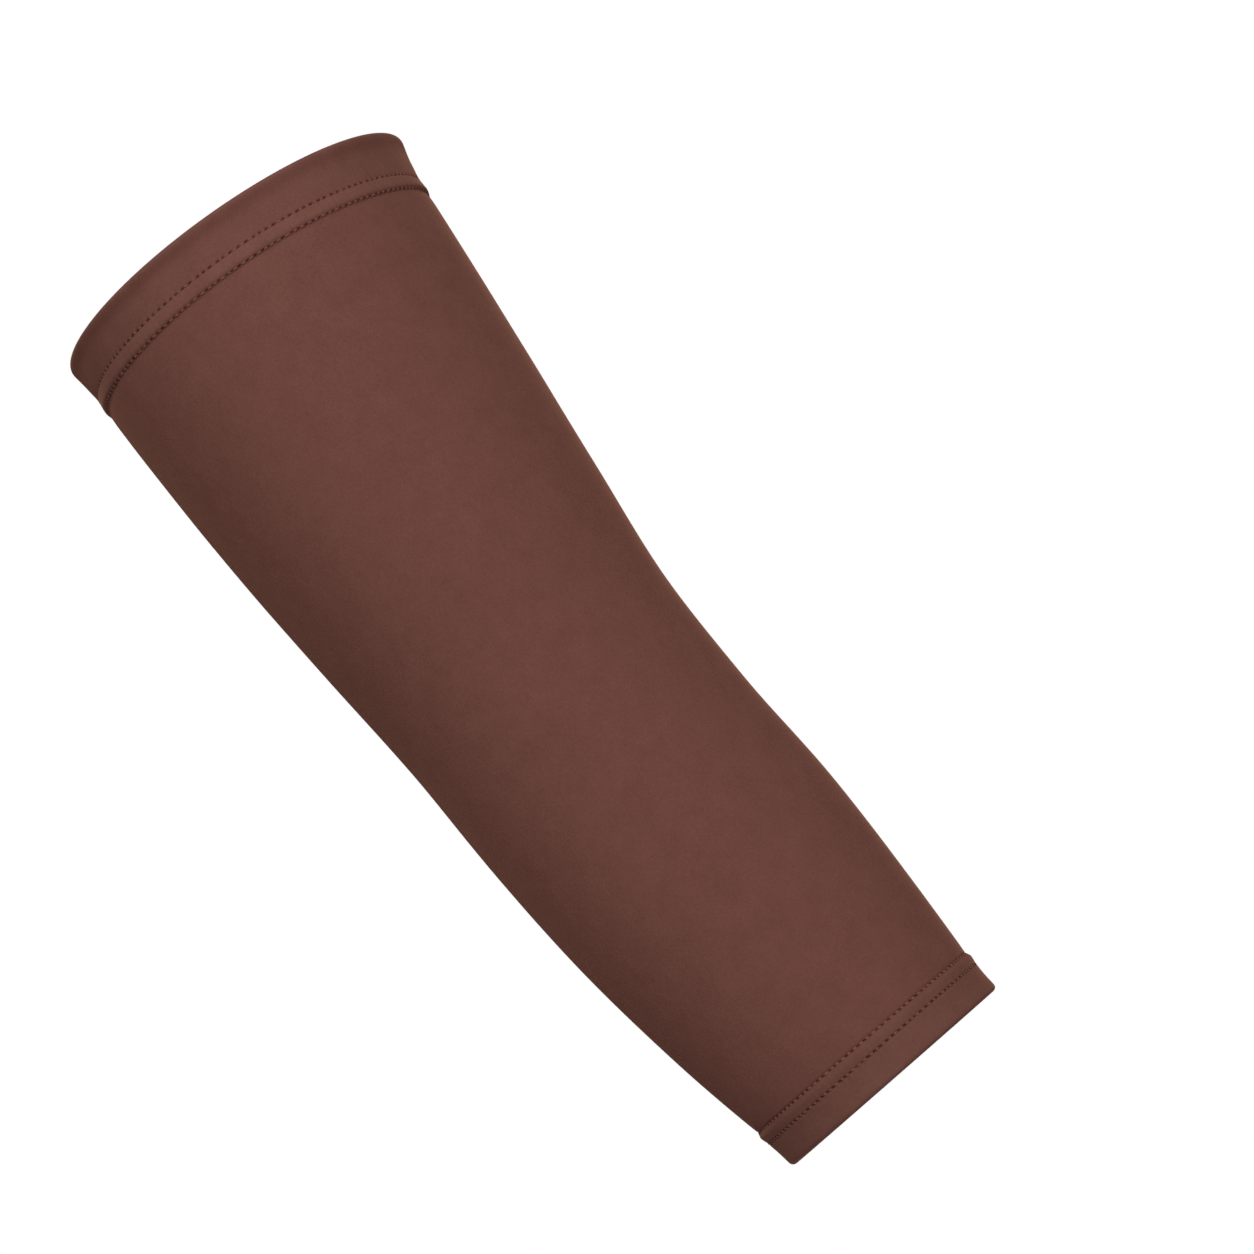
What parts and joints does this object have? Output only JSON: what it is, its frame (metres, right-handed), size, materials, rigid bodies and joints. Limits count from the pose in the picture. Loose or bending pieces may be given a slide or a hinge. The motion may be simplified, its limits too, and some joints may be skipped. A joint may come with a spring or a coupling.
{
  "type": "catheter line cover",
  "caption": "Tubular stretch-knit arm sleeve with stitched hems at its open ends, worn over the elbow to cover and hold a catheter line.",
  "frame": {"origin": "centre of the upper opening, at the folded edge of the upper hem", "axes": "+Z along the sleeve from the forearm end to the upper-arm end, -Y the side of the elbow's crook, +X the arm's outer side"},
  "size_m": [0.1024, 0.1006, 0.2694],
  "materials": {
    "knit_cloth": "matte stretch knit with a soft sheen",
    "sewing_thread": "matte thread, tone on tone"
  },
  "bodies": {
    "root": {"sleeve_body": "knit_cloth", "upper_hem": "knit_cloth", "lower_hem": "knit_cloth"}
  },
  "joints": []
}
